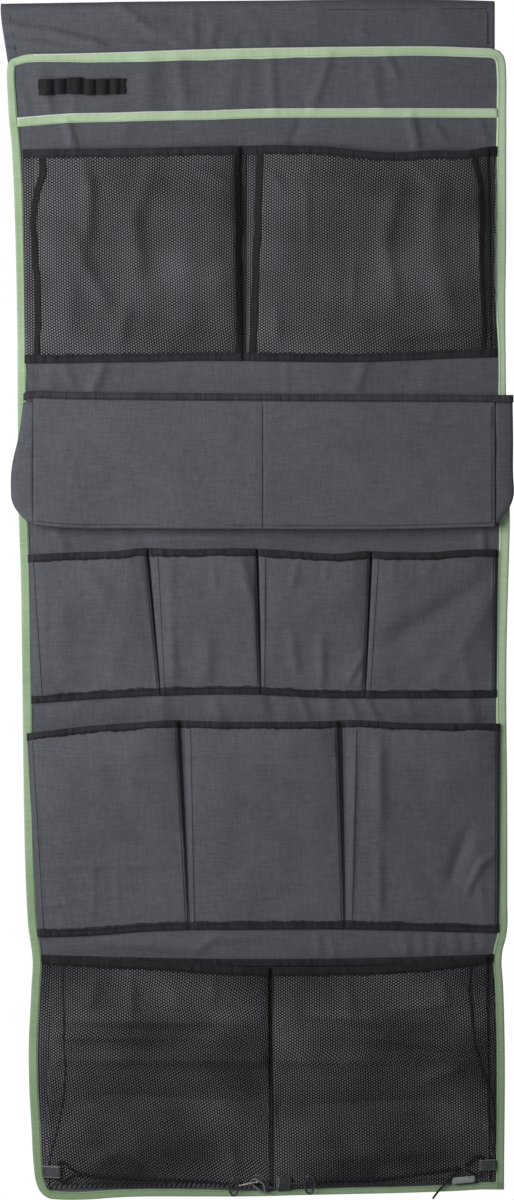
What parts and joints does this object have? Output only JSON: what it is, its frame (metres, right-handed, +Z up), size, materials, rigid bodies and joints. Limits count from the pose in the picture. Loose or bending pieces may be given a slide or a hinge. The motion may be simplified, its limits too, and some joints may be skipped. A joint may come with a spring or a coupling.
{
  "type": "tent organizer",
  "caption": "Tall hanging tent organizer: cloth panel under a pole sleeve, with mesh pockets, cloth pockets, a stiff tray pocket, pen loops and elastic cords along the hem.",
  "frame": {"origin": "middle of the pole sleeve, on the axis of the pole that carries the organizer", "axes": "+Z up; the front with the pockets faces -Y; +X is to the right as seen from the front"},
  "size_m": [0.5988, 0.0408, 1.4058],
  "materials": {
    "dark_cloth": "matt polyester weave",
    "black_mesh": "knitted mesh",
    "black_tape": "woven binding tape",
    "black_elastic": "ribbed elastic",
    "green_tape": "woven binding tape with a soft sheen",
    "stiff_board": "plain board, hidden",
    "hook_and_loop": "hook and loop tape",
    "grey_webbing": "woven webbing",
    "black_cord": "braided elastic cord",
    "black_wire": "black coated wire",
    "bare_wire": "bare wire"
  },
  "bodies": {
    "panel": {"back_panel": "dark_cloth", "small_pocket_1": "dark_cloth", "small_pocket_2": "dark_cloth", "small_pocket_3": "dark_cloth", "small_pocket_4": "dark_cloth", "tall_pocket_1": "dark_cloth", "tall_pocket_2": "dark_cloth", "tall_pocket_3": "dark_cloth", "tray_gusset_left": "dark_cloth", "tray_gusset_right": "dark_cloth", "tray_floor": "dark_cloth", "tray_divider": "dark_cloth", "header_front": "dark_cloth", "mesh_pocket_left": "black_mesh", "mesh_pocket_right": "black_mesh", "lower_mesh_left": "black_mesh", "lower_mesh_right": "black_mesh", "mesh_mouth_tape": "black_tape", "mesh_foot_tape": "black_tape", "small_mouth_tape": "black_tape", "small_foot_tape": "black_tape", "tall_mouth_tape": "black_tape", "tall_foot_tape": "black_tape", "lower_center_seam": "black_tape", "pen_loops": "black_elastic", "lower_mouth_elastic": "black_elastic", "edge_binding": "green_tape", "header_bar": "green_tape", "loop_tape": "hook_and_loop", "corner_tab_left": "grey_webbing", "corner_tab_right": "grey_webbing", "center_tab_left": "grey_webbing", "center_tab_right": "grey_webbing", "label_tab": "grey_webbing", "cord_knot_left": "black_cord", "cord_knot_right": "black_cord", "tab_loop_left": "black_cord", "tab_loop_right": "black_cord", "elastic_cord_left": "black_cord", "elastic_cord_right": "black_cord", "cord_tail": "black_cord"},
    "head_flap": {"header_flap": "dark_cloth", "hook_tape": "hook_and_loop"},
    "tray": {"tray_front": "dark_cloth", "tray_board": "stiff_board", "tray_lining": "dark_cloth", "tray_mouth_tape": "black_tape"},
    "hook_left": {"hook_ring_left": "black_wire", "hook_shank_left": "bare_wire"},
    "hook_right": {"hook_ring_right": "black_wire", "hook_shank_right": "bare_wire"}
  },
  "joints": [
    {"name": "flap_hinge", "type": "hinge", "parent": "panel", "child": "head_flap", "pos_m": [0, 0.0105, 0.017], "axis": [1, 0, 0], "range_deg": [0, 150]},
    {"name": "tray_slide", "type": "slide", "parent": "panel", "child": "tray", "axis": [0, -1, 0], "range_m": [0, 0.04], "deforming": ["tray_gusset_left", "tray_gusset_right", "tray_floor", "tray_divider"]},
    {"name": "hook_swivel_left", "type": "hinge", "parent": "panel", "child": "hook_left", "pos_m": [-0.00242, -0.0224, -1.35545], "axis": [0.7133, 0, 0.7008], "range_deg": [-5, 20]},
    {"name": "hook_swivel_right", "type": "hinge", "parent": "panel", "child": "hook_right", "pos_m": [0.02496, -0.0224, -1.3566], "axis": [-1, 0, 0], "range_deg": [-20, 20]}
  ]
}
